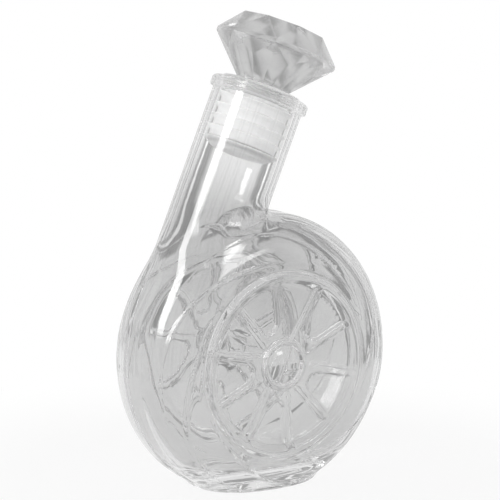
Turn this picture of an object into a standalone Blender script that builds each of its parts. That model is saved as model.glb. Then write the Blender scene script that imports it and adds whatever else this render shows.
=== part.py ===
# Glass whisky bottle shaped like a wheel standing on edge, with a neck rising from its rim
# and a cut glass stopper seated in a ribbed plug. Metres, +Z up. The origin lies on the
# table under the wheel's centre; the neck leans towards +X and the wheel's axis is Y.
import bpy
import bmesh
from math import acos, asin, cos, pi, radians, sin, sqrt
from mathutils import Matrix, Vector

MM = 0.001

# Wheel-shaped body
BODY_RADIUS = 70.0 * MM
TREAD_WIDTH = 13.0 * MM
SHOULDER_RADIUS = 22.7 * MM
TREAD_BAND_WIDTH = 7.0 * MM
TREAD_BAND_DEPTH = 0.5 * MM
SHOULDER_STEP = 0.3 * MM
SHOULDER_LINE = 6.7 * MM
SIDEWALL_LINE = 12.5 * MM
BASE_CUT = 5.6 * MM
FACE_GLASS = 3.0 * MM
FLOOR_GLASS = 6.5 * MM

# Wheel relief on both faces
RIM_SETBACK = 2.3 * MM
RIM_WIDTH = 4.0 * MM
RIM_RISE = 1.0 * MM
RIM_SLOPE = 0.7 * MM
DISH_DEPTH = 2.6 * MM
SPOKE_PAIRS = 5
SPOKE_WIDTH = 3.4 * MM
SPOKE_HUB_WIDTH = 4.6 * MM
SPOKE_RISE = 1.6 * MM
SPOKE_DRAFT = 0.4 * MM
SPOKE_ANGLE = radians(36.0)
FIRST_PAIR_ANGLE = radians(41.0)
WINDOW_TIP = 18.0 * MM
HUB_RADIUS = 12.5 * MM
HUB_RING_WIDTH = 2.0 * MM
HUB_RISE = 3.6 * MM
HUB_GROOVE = 0.8 * MM
HUB_DOME_RISE = 1.0 * MM

# Foot
FOOT_FLARE_LENGTH = 3.6 * MM
FOOT_FLARE_WIDTH = 2.4 * MM
FOOT_HEIGHT = 4.5 * MM
FOOT_ROUND = 1.0 * MM
FOOT_SQUARENESS = 2.3
BEARING_WIDTH = 3.5 * MM
PUNT_DEPTH = 1.5 * MM

# Neck, tangent to the tread
NECK_RADIUS = 22.5 * MM
NECK_WALL = 3.6 * MM
NECK_LEAN = radians(24.0)
NECK_INSET = 0.5 * MM
NECK_LENGTH = 119.4 * MM
COLLAR_OVERHANG = 1.9 * MM
COLLAR_HEIGHT = 5.2 * MM
COLLAR_ROUND = 1.1 * MM

# Ribbed plug in the bore
FIT_GAP = 0.3 * MM
PLUG_DEPTH = 34.0 * MM
PLUG_CORE_INSET = 2.2 * MM
PLUG_ROUND = 3.0 * MM
FLANGE_THICKNESS = 1.2 * MM
FLANGE_OVERLAP = 2.6 * MM
RIB_COUNT = 5
FIRST_RIB = 9.0 * MM
RIB_PITCH = 5.5 * MM
RIB_ROOT = 1.8 * MM
RIB_TIP = 0.5 * MM

# Cut glass stopper head
HEAD_SIDES = 8
HEAD_TURN = radians(-14.3)
HEAD_RADIUS = 30.2 * MM
GIRDLE_BAND = 2.0 * MM
TABLE_RADIUS = 21.3 * MM
CROWN_HEIGHT = 10.5 * MM
PAVILION_HEIGHT = 18.8 * MM
SEAT_RADIUS = 12.2 * MM
BREAK_DEPTH = 7.5 * MM
BREAK_BULGE = 1.3 * MM
SHANK_RADIUS = 8.5 * MM
SHANK_LENGTH = 22.0 * MM

# Facets of the solids
WHEEL_STEPS = 64
NECK_STEPS = 40
PLUG_STEPS = 32
HUB_STEPS = 32
FOOT_STEPS = 40
SHOULDER_STEPS = 3
SIDEWALL_STEPS = 2
CAVITY_STEPS = 5
DOME_STEPS = 3
WINDOW_STEPS = 4
PLUG_END_STEPS = 2
DOME_LAST_ANGLE = radians(60.0)
PLUG_END_ANGLE = radians(90.0)
MERGE_DISTANCE = 0.01 * MM
CUT_DISTANCE = 0.001 * MM
FLAT_ANGLE = radians(0.5)
SMOOTH_ANGLE = radians(30.0)
CUT_GLASS_ANGLE = radians(3.0)

# Finishes: colour, roughness and transmission
BOTTLE_GLASS = ((0.86, 0.88, 0.88), 0.03, 1.0)
STOPPER_GLASS = ((0.84, 0.86, 0.87), 0.02, 1.0)
PLUG_PLASTIC = ((0.90, 0.90, 0.89), 0.35, 0.5)

# Places worked out from the sizes above
BASE_DROP = BODY_RADIUS - BASE_CUT
SHOULDER_CENTRE = BODY_RADIUS - SHOULDER_RADIUS
FACE_Y = TREAD_WIDTH / 2 + SHOULDER_RADIUS - 2 * SHOULDER_STEP
RIM_RADIUS = SHOULDER_CENTRE - RIM_SETBACK
DISH_RADIUS = RIM_RADIUS - RIM_WIDTH
DISH_Y = FACE_Y - DISH_DEPTH
RELIEF_ROOT = DISH_Y - FACE_GLASS / 2
BORE_RADIUS = NECK_RADIUS - NECK_WALL
NECK_OFFSET = BODY_RADIUS - NECK_RADIUS - NECK_INSET
HEAD_SEAT = FIT_GAP + FLANGE_THICKNESS + FIT_GAP
CENTRE = Vector((0.0, 0.0, BASE_DROP))
NECK_FOOT = CENTRE + NECK_OFFSET * Vector((-cos(NECK_LEAN), 0.0, sin(NECK_LEAN)))
NECK_AXIS = Vector((sin(NECK_LEAN), 0.0, cos(NECK_LEAN)))
MOUTH = NECK_FOOT + NECK_LENGTH * NECK_AXIS
NECK_TURN = Matrix.Rotation(NECK_LEAN, 4, "Y")
NECK_FRAME = Matrix.Translation(NECK_FOOT) @ NECK_TURN
MOUTH_FRAME = Matrix.Translation(MOUTH) @ NECK_TURN
# local Z of a wheel piece points along -Y, out of the front face
WHEEL_FRAME = Matrix.Translation(CENTRE) @ Matrix.Rotation(pi / 2, 4, "X")


def clear_scene():
    for old in list(bpy.data.objects):
        bpy.data.objects.remove(old, do_unlink=True)


def make_material(name, colour, roughness, transmission):
    material = bpy.data.materials.new(name)
    material.use_nodes = True
    shader = material.node_tree.nodes["Principled BSDF"]
    shader.inputs["Base Color"].default_value = (*colour, 1.0)
    shader.inputs["Roughness"].default_value = roughness
    shader.inputs["Metallic"].default_value = 0.0
    shader.inputs["Transmission Weight"].default_value = transmission
    return material


def add_object(name, bm, frame, material=None, smooth=SMOOTH_ANGLE):
    bmesh.ops.recalc_face_normals(bm, faces=bm.faces)
    mesh = bpy.data.meshes.new(name)
    bm.to_mesh(mesh)
    bm.free()
    mesh.shade_smooth()
    mesh.set_sharp_from_angle(angle=smooth)
    if material:
        mesh.materials.append(material)
    piece = bpy.data.objects.new(name, mesh)
    piece.matrix_world = frame
    bpy.context.scene.collection.objects.link(piece)
    return piece


def make_guide(piece):
    # guides and cutters shape another object and are no piece themselves
    piece.hide_render = True
    piece.display_type = "WIRE"
    return piece


def combine(target, tool, operation):
    modifier = target.modifiers.new(operation.lower() + "_" + tool.name, "BOOLEAN")
    modifier.object = tool
    modifier.operation = operation
    modifier.solver = "EXACT"


def turned(profile, steps):
    # profile is a list of (radius, height) that starts and ends on the axis
    bm = bmesh.new()
    points = [bm.verts.new((radius, 0.0, height)) for radius, height in profile]
    edges = [bm.edges.new(pair) for pair in zip(points, points[1:])]
    bmesh.ops.spin(bm, geom=points + edges, cent=(0, 0, 0), axis=(0, 0, 1), angle=2 * pi, steps=steps)
    bmesh.ops.remove_doubles(bm, verts=bm.verts, dist=MERGE_DISTANCE)
    return bm


def lofted(rings):
    # rings is a list of closed outlines with equal counts; the first and last are capped
    bm = bmesh.new()
    loops = [[bm.verts.new(point) for point in ring] for ring in rings]
    for lower, upper in zip(loops, loops[1:]):
        count = len(lower)
        for k in range(count):
            nxt = (k + 1) % count
            bm.faces.new((lower[k], lower[nxt], upper[nxt], upper[k]))
    bm.faces.new(loops[0])
    bm.faces.new(loops[-1])
    return bm


def hull_of(points):
    bm = bmesh.new()
    for point in points:
        bm.verts.new(point)
    bmesh.ops.convex_hull(bm, input=bm.verts)
    bmesh.ops.dissolve_limit(bm, angle_limit=FLAT_ANGLE, verts=bm.verts, edges=bm.edges)
    return bm


def circle(radius, count, height, turn=0.0):
    angles = [turn + 2 * pi * k / count for k in range(count)]
    return [(radius * cos(a), radius * sin(a), height) for a in angles]


def cut_flat(bm, level):
    # removes what lies below the level, measured along the wheel's local Y, and closes it
    everything = list(bm.verts) + list(bm.edges) + list(bm.faces)
    cut = bmesh.ops.bisect_plane(
        bm, geom=everything, dist=CUT_DISTANCE, plane_co=(0, level, 0), plane_no=(0, -1, 0), clear_outer=True
    )
    edges = [e for e in cut["geom_cut"] if isinstance(e, bmesh.types.BMEdge)]
    bmesh.ops.contextual_create(bm, geom=edges)
    return bm


def both_sides(half):
    # half runs from the mid-plane out to the axis; the other half is its mirror image
    mirrored = [(radius, -height) for radius, height in reversed(half)]
    return mirrored + half[1:] if half[0][1] == 0.0 else mirrored + half


def shoulder_point(angle, sink):
    reach = SHOULDER_RADIUS - sink
    return (SHOULDER_CENTRE + reach * cos(angle), TREAD_WIDTH / 2 + reach * sin(angle))


def shoulder_curve():
    # the rounding from tread to face, with a low moulded step at two places
    first = asin(min(1.0, SHOULDER_LINE / SHOULDER_RADIUS))
    second = acos(min(1.0, (SHOULDER_RADIUS - SIDEWALL_LINE) / SHOULDER_RADIUS))
    points = [shoulder_point(0.0, 0.0), shoulder_point(first, 0.0)]
    for k in range(SHOULDER_STEPS + 1):
        points.append(shoulder_point(first + (second - first) * k / SHOULDER_STEPS, SHOULDER_STEP))
    for k in range(SIDEWALL_STEPS + 1):
        points.append(shoulder_point(second + (pi / 2 - second) * k / SIDEWALL_STEPS, 2 * SHOULDER_STEP))
    return points


def wheel_profile():
    half = [(BODY_RADIUS - TREAD_BAND_DEPTH, TREAD_BAND_WIDTH / 2 - TREAD_BAND_DEPTH)]
    half += [(BODY_RADIUS, TREAD_BAND_WIDTH / 2)]
    half += shoulder_curve()
    half += [(RIM_RADIUS, FACE_Y)]
    half += [(RIM_RADIUS - RIM_SLOPE, FACE_Y + RIM_RISE)]
    half += [(DISH_RADIUS + RIM_SLOPE, FACE_Y + RIM_RISE)]
    half += [(DISH_RADIUS, DISH_Y)]
    half += [(0.0, DISH_Y)]
    return both_sides(half)


def cavity_profile():
    reach = SHOULDER_RADIUS - 2 * SHOULDER_STEP - FACE_GLASS
    arc = [pi / 2 * k / CAVITY_STEPS for k in range(CAVITY_STEPS + 1)]
    half = [(SHOULDER_CENTRE + reach * cos(a), TREAD_WIDTH / 2 + reach * sin(a)) for a in arc]
    half += [(RIM_RADIUS, FACE_Y - FACE_GLASS)]
    half += [(DISH_RADIUS, DISH_Y - FACE_GLASS)]
    half += [(0.0, DISH_Y - FACE_GLASS)]
    return both_sides(half)


def hub_profile():
    top = DISH_Y + HUB_RISE
    inner = HUB_RADIUS - HUB_RING_WIDTH
    profile = [(0.0, RELIEF_ROOT)]
    profile += [(HUB_RADIUS, RELIEF_ROOT)]
    profile += [(HUB_RADIUS, top - HUB_GROOVE)]
    profile += [(HUB_RADIUS - HUB_GROOVE, top)]
    profile += [(inner, top)]
    profile += [(inner - HUB_GROOVE, top - HUB_GROOVE)]
    dome = inner - 2 * HUB_GROOVE
    for k in range(DOME_STEPS):
        angle = DOME_LAST_ANGLE * k / (DOME_STEPS - 1)
        profile.append((dome * cos(angle), top - HUB_GROOVE + (HUB_GROOVE + HUB_DOME_RISE) * sin(angle)))
    return profile + [(0.0, top + HUB_DOME_RISE)]


def spoke_pair_outline(draft):
    # two bars that meet at the hub and leave a window with a round inner end between them
    half = SPOKE_ANGLE / 2
    side = SPOKE_WIDTH / 2 + draft
    outer = DISH_RADIUS + RIM_SLOPE
    inner = HUB_RADIUS - HUB_RING_WIDTH
    along = Vector((cos(half), sin(half)))
    across = Vector((-sin(half), cos(half)))
    window_tip = WINDOW_TIP + draft
    tip_centre = (window_tip - side) / (1 - sin(half))
    tip_radius = tip_centre - window_tip
    upper = [along * inner + across * (SPOKE_HUB_WIDTH / 2 + draft), along * outer + across * side]
    upper += [along * outer - across * side]
    for k in range(WINDOW_STEPS):
        angle = half + pi / 2 + (pi / 2 - half) * k / WINDOW_STEPS
        upper.append(Vector((tip_centre + tip_radius * cos(angle), tip_radius * sin(angle))))
    tip = [Vector((window_tip, 0.0))]
    lower = [Vector((p.x, -p.y)) for p in reversed(upper)]
    return upper + tip + lower


def spoke_pair_solid(angle):
    # the sides slope so that the pair would leave its mould
    turn = Matrix.Rotation(angle, 2)
    rings = []
    for height, draft in ((RELIEF_ROOT, SPOKE_DRAFT), (DISH_Y, SPOKE_DRAFT), (DISH_Y + SPOKE_RISE, 0.0)):
        outline = [turn @ point for point in spoke_pair_outline(draft)]
        rings.append([(p.x, p.y, height) for p in outline])
    return lofted(rings)


def foot_outline(length, width):
    # superellipse between an oval and a box
    power = 2.0 / FOOT_SQUARENESS
    points = []
    for k in range(FOOT_STEPS):
        c, s = cos(2 * pi * k / FOOT_STEPS), sin(2 * pi * k / FOOT_STEPS)
        x = length * abs(c) ** power * (1 if c >= 0 else -1)
        y = width * abs(s) ** power * (1 if s >= 0 else -1)
        points.append((x, y))
    return points


def foot_solid():
    angle = acos(min(1.0, (BASE_DROP - SHOULDER_CENTRE) / SHOULDER_RADIUS))
    length = sqrt(BODY_RADIUS ** 2 - BASE_DROP ** 2) + FOOT_FLARE_LENGTH
    width = TREAD_WIDTH / 2 + SHOULDER_RADIUS * sin(angle) + FOOT_FLARE_WIDTH
    bearing = FOOT_ROUND + BEARING_WIDTH
    middle = FOOT_ROUND * (1 - cos(pi / 4))
    steps = [(bearing + PUNT_DEPTH, PUNT_DEPTH), (bearing, 0.0), (FOOT_ROUND, 0.0)]
    steps += [(middle, middle), (0.0, FOOT_ROUND), (0.0, FOOT_HEIGHT)]
    rings = []
    for inset, height in steps:
        rings.append([(x, y, height) for x, y in foot_outline(length - inset, width - inset)])
    return lofted(rings)


def neck_profile():
    collar = NECK_RADIUS + COLLAR_OVERHANG
    low = NECK_LENGTH - COLLAR_HEIGHT
    profile = [(0.0, 0.0), (NECK_RADIUS, 0.0), (NECK_RADIUS, low)]
    profile += [(collar - COLLAR_ROUND, low), (collar, low + COLLAR_ROUND)]
    profile += [(collar, NECK_LENGTH - COLLAR_ROUND), (collar - COLLAR_ROUND, NECK_LENGTH)]
    return profile + [(0.0, NECK_LENGTH)]


def make_bottle(glass):
    outer = cut_flat(turned(wheel_profile(), WHEEL_STEPS), FOOT_ROUND - BASE_DROP)
    bottle = add_object("glass_bottle", outer, WHEEL_FRAME, glass)

    neck = make_guide(add_object("neck_form", turned(neck_profile(), NECK_STEPS), NECK_FRAME))
    combine(bottle, neck, "UNION")
    foot = make_guide(add_object("foot_form", foot_solid(), Matrix.Identity(4)))
    combine(bottle, foot, "UNION")

    for side, turn in (("front", 0.0), ("back", pi)):
        # the back face is the front one turned about the upright axis and mirrored
        frame = WHEEL_FRAME @ Matrix.Rotation(turn, 4, "Y")
        hub = make_guide(add_object("hub_form_" + side, turned(hub_profile(), HUB_STEPS), frame))
        combine(bottle, hub, "UNION")
        for k in range(SPOKE_PAIRS):
            angle = FIRST_PAIR_ANGLE + 2 * pi * k / SPOKE_PAIRS
            if side == "back":
                angle = pi - angle
            name = "spoke_pair_form_%s_%d" % (side, k + 1)
            pair = make_guide(add_object(name, spoke_pair_solid(angle), frame))
            combine(bottle, pair, "UNION")

    cavity = cut_flat(turned(cavity_profile(), WHEEL_STEPS), FLOOR_GLASS - BASE_DROP)
    combine(bottle, make_guide(add_object("cavity_cutter", cavity, WHEEL_FRAME)), "DIFFERENCE")
    over = NECK_LENGTH + COLLAR_HEIGHT
    bore = turned([(0.0, 0.0), (BORE_RADIUS, 0.0), (BORE_RADIUS, over), (0.0, over)], NECK_STEPS)
    combine(bottle, make_guide(add_object("bore_cutter", bore, NECK_FRAME)), "DIFFERENCE")
    return bottle


def rib_profile(depth):
    # one soft rib on the plug, thick at its root and thin at its tip
    core = BORE_RADIUS - PLUG_CORE_INSET
    tip = BORE_RADIUS - FIT_GAP
    points = [(core, -depth - RIB_ROOT / 2), (tip, -depth - RIB_TIP / 2)]
    return points + [(tip, -depth + RIB_TIP / 2), (core, -depth + RIB_ROOT / 2)]


def plug_profile():
    # heights are measured from the mouth plane, out of the bottle
    core = BORE_RADIUS - PLUG_CORE_INSET
    top = FIT_GAP + FLANGE_THICKNESS
    flange = BORE_RADIUS + FLANGE_OVERLAP
    socket = SHANK_RADIUS + FIT_GAP
    socket_floor = top - SHANK_LENGTH
    profile = [(0.0, -PLUG_DEPTH)]
    for k in range(PLUG_END_STEPS + 1):
        angle = PLUG_END_ANGLE * k / PLUG_END_STEPS
        height = PLUG_ROUND * (1 - cos(angle)) - PLUG_DEPTH
        profile.append((core - PLUG_ROUND * (1 - sin(angle)), height))
    for k in reversed(range(RIB_COUNT)):
        profile += rib_profile(FIRST_RIB + RIB_PITCH * k)
    profile += [(core, FIT_GAP), (flange, FIT_GAP), (flange, top), (socket, top)]
    return profile + [(socket, socket_floor), (0.0, socket_floor)]


def make_plug(plastic):
    return add_object("ribbed_plug", turned(plug_profile(), PLUG_STEPS), MOUTH_FRAME, plastic)


def head_points():
    low_girdle = HEAD_SEAT + PAVILION_HEIGHT
    high_girdle = low_girdle + GIRDLE_BAND
    # the girdle's corners lie half a side round from the corners of the table
    girdle_turn = HEAD_TURN + pi / HEAD_SIDES
    drop = BREAK_DEPTH / PAVILION_HEIGHT
    flat = HEAD_RADIUS * cos(pi / HEAD_SIDES)
    break_radius = flat + (SEAT_RADIUS - flat) * drop + BREAK_BULGE
    points = circle(TABLE_RADIUS, HEAD_SIDES, high_girdle + CROWN_HEIGHT, HEAD_TURN)
    points += circle(HEAD_RADIUS, HEAD_SIDES, high_girdle, girdle_turn)
    points += circle(HEAD_RADIUS, HEAD_SIDES, low_girdle, girdle_turn)
    points += circle(break_radius, HEAD_SIDES, low_girdle - BREAK_DEPTH, HEAD_TURN)
    points += circle(SEAT_RADIUS, 2 * HEAD_SIDES, HEAD_SEAT, HEAD_TURN)
    return points


def make_head(glass):
    head = add_object("stopper_head", hull_of(head_points()), MOUTH_FRAME, glass, smooth=CUT_GLASS_ANGLE)
    end = HEAD_SEAT - SHANK_LENGTH
    # the shank starts inside the head so that the two join as one piece of glass
    start = HEAD_SEAT + SHANK_RADIUS / 2
    shank = turned([(0.0, end), (SHANK_RADIUS, end), (SHANK_RADIUS, start), (0.0, start)], PLUG_STEPS)
    combine(head, make_guide(add_object("shank_form", shank, MOUTH_FRAME)), "UNION")
    return head


clear_scene()
make_bottle(make_material("bottle_glass", *BOTTLE_GLASS))
make_plug(make_material("plug_plastic", *PLUG_PLASTIC))
make_head(make_material("stopper_glass", *STOPPER_GLASS))
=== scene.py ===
# Clear glass bottle in the shape of a wheel on edge, with a leaning neck, a ribbed plug and
# a cut glass stopper. Metres, Z up. The front of the wheel looks towards -Y.
from math import atan2, cos, pi, radians, sin

import bmesh
import bpy
import numpy as np
from mathutils import Matrix, Vector
from mathutils.geometry import delaunay_2d_cdt


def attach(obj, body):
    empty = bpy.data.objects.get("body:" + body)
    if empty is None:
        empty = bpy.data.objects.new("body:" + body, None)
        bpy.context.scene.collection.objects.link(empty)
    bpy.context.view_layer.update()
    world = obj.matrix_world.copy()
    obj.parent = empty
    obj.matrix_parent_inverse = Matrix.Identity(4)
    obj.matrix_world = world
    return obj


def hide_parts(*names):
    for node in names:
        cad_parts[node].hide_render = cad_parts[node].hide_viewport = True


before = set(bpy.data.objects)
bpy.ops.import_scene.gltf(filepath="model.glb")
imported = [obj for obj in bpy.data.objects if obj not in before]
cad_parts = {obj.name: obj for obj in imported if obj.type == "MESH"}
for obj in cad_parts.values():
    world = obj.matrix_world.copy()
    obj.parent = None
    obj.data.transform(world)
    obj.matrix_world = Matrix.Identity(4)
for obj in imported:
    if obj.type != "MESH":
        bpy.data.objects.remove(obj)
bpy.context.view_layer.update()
mm = 0.001
probe = 0.02 * mm  # the step by which slopes are measured
across = (-1.0, -0.5, 0.0, 0.5, 1.0)  # corners across a rib or a groove

wheel = {
    "radius": 70.0 * mm,
    "tread": 13.0 * mm,  # flat part across the rolling surface
    "shoulder": 22.7 * mm,  # rounding from tread to face
    "height": 64.4 * mm,  # of the centre above the table
    "bandHalf": 3.0 * mm,  # the sunk band along the middle of the tread
    "bandDepth": 0.5 * mm,
    "stepWidth": 0.6 * mm,
    "sink": 0.6 * mm,  # how much flatter the shoulder is than a true round at the face
    "sinkShort": 2.0 * mm,  # it is that flat this much before the round would end
    "patchEdge": 27.85 * mm,  # the relief on the faces starts this far from the middle
}

# curved ribs that sweep from the tread in to the ring, as on a pinwheel
swirl = {
    "count": 6,
    "start": radians(16.0),
    "inner": 47.5 * mm,
    "outer": 66.5 * mm,
    "end": 0.3 * mm,  # the spiral has no end at inner and outer, so it stops this short of them
    "sweep": radians(15.0),
    "rib": 0.42 * mm,
    "ribHalf": 1.25 * mm,
    "blade": 0.5 * mm,  # each blade stands this much over the next at its rib
    "fadeStart": 0.5 * mm,
    "fade": 3.0 * mm,
    "side": 13.0 * mm,  # the ribs begin this far from the middle plane
    "sideFade": 1.0 * mm,
    "steps": 24,
    "margin": 1.0 * mm,
    "fineSide": 15.0 * mm,  # from here out the shoulder's mesh is finer
    "fineInner": 54.0 * mm,
}

neck = {
    "radius": 22.5 * mm,
    "bore": 18.9 * mm,
    "lean": radians(24.0),
    "offset": 47.0 * mm,  # of the axis from the wheel's centre
    "length": 119.4 * mm,
    "weld": 4.5 * mm,  # width of the fillet into the wheel
    "boreWeld": 14.0 * mm,
    "cut": 77.0 * mm,  # above this the neck is turned
    "collar": 24.4 * mm,
    "collarLow": 114.2 * mm,
    "fillet": 0.7 * mm,  # under the collar
    "lowRound": 1.2 * mm,
    "topRound": 1.6 * mm,
    "mouthRound": 1.0 * mm,
    "lines": (116.1 * mm, 117.2 * mm),  # fine grooves round the collar
    "lineDepth": 0.22 * mm,
    "lineHalf": 0.35 * mm,
    "steps": 6,
}

foot = {
    "halfLength": 31.0 * mm,
    "halfWidth": 23.8 * mm,
    "squareness": 2.3,
    "centreShare": 0.05,  # the middle of the foot counts as this far out, never as 0
    "height": 2.0 * mm,
    "weld": 6.0 * mm,
    "edge": 1.3 * mm,  # rounding of the bottom edge
    "bearing": 4.5 * mm,  # ring that stands on the table
    "punt": 1.5 * mm,
}

cavity = {
    "reach": 19.1 * mm,  # of the rounding
    "face": 25.6 * mm,
    "faceWeld": 3.0 * mm,
    "dish": 2.6 * mm,
    "dishFrom": 38.0 * mm,
    "dishWidth": 8.0 * mm,
    "floor": 6.5 * mm,
    "floorWeld": 12.0 * mm,
    "ripple": 0.10 * mm,  # blown glass is never quite even inside
    "rippleLength": 11.0 * mm,
    "rippleTop": 100.0 * mm,  # the ripple fades out from here up
    "rippleFade": 30.0 * mm,
    "rippleLean": 0.5,
}

centre = Vector((0.0, 0.0, wheel["height"]))
neckAxis = Vector((sin(neck["lean"]), 0.0, cos(neck["lean"])))
neckFoot = centre + neck["offset"] * Vector((-cos(neck["lean"]), 0.0, sin(neck["lean"])))
neckFrame = Matrix.Translation(neckFoot) @ Matrix.Rotation(neck["lean"], 4, "Y")
mouthFrame = neckFrame @ Matrix.Translation((0.0, 0.0, neck["length"]))


def addObject(name, data):
    made = bpy.data.objects.new(name, data)
    bpy.context.scene.collection.objects.link(made)
    return made


def rise(value, start, width):  # smooth step from 0 to 1
    t = np.clip((value - start) / width, 0.0, 1.0)
    return t * t * (3.0 - 2.0 * t)


def softMin(a, b, width):
    overlap = np.maximum(width - np.abs(a - b), 0.0)
    return np.minimum(a, b) - overlap * overlap / (4.0 * width)


def softMax(a, b, width):
    return -softMin(-a, -b, width)


def roundedDisc(points, reach):
    # how far each point is outside a disc whose rim is rounded by reach, and outside its flat part
    out = np.hypot(points[:, 0], points[:, 2] - wheel["height"]) - (wheel["radius"] - wheel["shoulder"])
    side = np.abs(points[:, 1]) - wheel["tread"] / 2
    corner = np.hypot(np.maximum(out, 0.0), np.maximum(side, 0.0))
    return corner + np.minimum(np.maximum(out, side), 0.0) - reach, out


def neckSkin(points, radius):
    offset = points - np.array(neckFoot)
    along = offset @ np.array(neckAxis)
    aside = np.sqrt(np.maximum((offset ** 2).sum(1) - along ** 2, 0.0))
    return np.hypot(aside, np.minimum(along, 0.0)) - radius


def footSide(points):
    # about how far each point is outside the foot's rounded oblong
    power = foot["squareness"]
    x = np.abs(points[:, 0]) / foot["halfLength"]
    y = np.abs(points[:, 1]) / foot["halfWidth"]
    value = np.maximum((x ** power + y ** power) ** (1.0 / power), foot["centreShare"])
    steep = np.hypot(x ** (power - 1) / foot["halfLength"], y ** (power - 1) / foot["halfWidth"])
    return (value - 1.0) / np.maximum(steep * value ** (1.0 - power), 1.0)


def swirlReach(r):
    return np.clip(r, swirl["inner"] + swirl["end"], swirl["outer"] - swirl["end"])


def swirlTurn(r):
    # how far round a rib has got at a given radius
    r = swirlReach(r)
    return swirl["sweep"] * np.log((r - swirl["inner"]) / (swirl["outer"] - r))


def swirlLean(r):
    # how fast it turns there
    return swirl["sweep"] * (1.0 / (r - swirl["inner"]) + 1.0 / (swirl["outer"] - r))


def swirlRelief(u, v):
    # height of the ribs, and of the blades that slope from one rib to the next
    half = swirl["ribHalf"]
    r = np.hypot(u, v)
    pitch = 2 * pi / swirl["count"]
    turn = (np.arctan2(v, u) - swirl["start"] - swirlTurn(r)) / pitch
    turn = turn - np.floor(turn + 0.5)  # -0.5 to 0.5, with the rib at 0
    reach = swirlReach(r)
    away = turn * pitch / np.hypot(swirlLean(reach), 1.0 / reach)  # distance across the rib
    rib = np.maximum(1.0 - (away / half) ** 2, 0.0) ** 2
    step = rise(away, -0.5 * half, half)
    blade = (0.5 - np.abs(turn)) * np.where(turn < 0.0, -1.0, 1.0) + 0.5
    bladeAtRib = (0.5 - np.abs(turn)) * (2.0 * step - 1.0) + 0.5
    blade = np.where(np.abs(away) < half, bladeAtRib, blade)
    fade = rise(r, swirl["inner"] + swirl["fadeStart"], swirl["fade"])
    fade = fade * (1.0 - rise(r, swirl["outer"] - swirl["fade"], swirl["fade"]))
    return (swirl["rib"] * rib + swirl["blade"] * (blade - 0.5)) * fade


def outerSkin(points):
    disc = roundedDisc(points, wheel["shoulder"])[0]
    away = np.abs(points[:, 1])
    disc = disc + wheel["bandDepth"] * (1.0 - rise(away, wheel["bandHalf"], wheel["stepWidth"]))
    disc = disc + wheel["sink"] * rise(away, wheel["tread"] / 2, wheel["shoulder"] - wheel["sinkShort"])
    ribs = swirlRelief(points[:, 0], points[:, 2] - wheel["height"])
    disc = disc - ribs * rise(away, swirl["side"], swirl["sideFade"])
    skin = softMin(disc, neckSkin(points, neck["radius"]), neck["weld"])
    edge = footSide(points)
    base = softMax(edge, points[:, 2] - foot["height"], foot["weld"])
    skin = softMin(skin, base, foot["weld"])
    bottom = foot["punt"] * rise(-edge, foot["bearing"], foot["bearing"]) - points[:, 2]
    return softMax(skin, bottom, foot["edge"])


def innerSkin(points):
    disc, out = roundedDisc(points, cavity["reach"])
    far = out + wheel["radius"] - wheel["shoulder"]
    face = cavity["face"] - cavity["dish"] * (1.0 - rise(far, cavity["dishFrom"], cavity["dishWidth"]))
    disc = softMax(disc, np.abs(points[:, 1]) - face, cavity["faceWeld"])
    disc = softMax(disc, cavity["floor"] - points[:, 2], cavity["floorWeld"])
    skin = softMin(disc, neckSkin(points, neck["bore"]), neck["boreWeld"])
    # two crossed waves, slanted so that no line of theirs lies along the wheel
    x, y, z = (points / cavity["rippleLength"]).T
    wave = np.sin(x + 1.3 * y) * np.sin(z - 0.7 * x)
    wave = wave + 0.6 * np.sin(2.1 * z + y) * np.sin(1.7 * x - 0.4 * z)
    high = points[:, 2] - cavity["rippleLean"] * points[:, 0]
    inBody = 1.0 - rise(high, cavity["rippleTop"], cavity["rippleFade"])
    return skin + cavity["ripple"] * wave * inBody


skinMesh = {
    "outerVoxel": 1.3 * mm,
    "innerVoxel": 1.7 * mm,
    "rounds": 8,
    "flattest": 0.05,  # a flatter slope counts as this much, so that no move is endless
    "longestMove": 3.0 * mm,
    "snap": 0.12,  # of a voxel: corners this near a cut move onto it
    "sliver": 0.15 * mm,
    "onLine": 0.16 * mm,  # corners this near a cut are held on it
    "border": 0.25 * mm,  # shortest open edge
    "same": 0.01 * mm,
    "layer": "skinNormal",
}


def gradient(skin, points):
    result = np.empty_like(points)
    for axis in range(3):
        shift = np.zeros(3)
        shift[axis] = probe
        result[:, axis] = (skin(points + shift) - skin(points - shift)) / (2.0 * probe)
    return result


def settle(points, skin, held=None):
    # moves points onto the skin; held gives a direction in which a point must not move
    longest = skinMesh["longestMove"]
    for _ in range(skinMesh["rounds"]):
        slope = gradient(skin, points)
        way = slope if held is None else slope - (slope * held).sum(1)[:, None] * held
        pull = skin(points) / np.maximum((slope * way).sum(1), skinMesh["flattest"])
        points = points - np.clip(pull, -longest, longest)[:, None] * way
    return points


def coordinates(bm):
    return np.array([v.co[:] for v in bm.verts])


def moveCorners(bm, points):
    for vert, point in zip(bm.verts, points):
        vert.co = point


blank = {
    "slices": (0.0, 20.0, 40.0, 60.0, 80.0),  # degrees up the shoulder
    "overlap": radians(4.0),
    "sides": 96,
    "neckSides": 64,
    "neckShare": 0.85,  # of the neck's length, which is past its cut
    "wall": 3.4 * mm,
}


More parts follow.
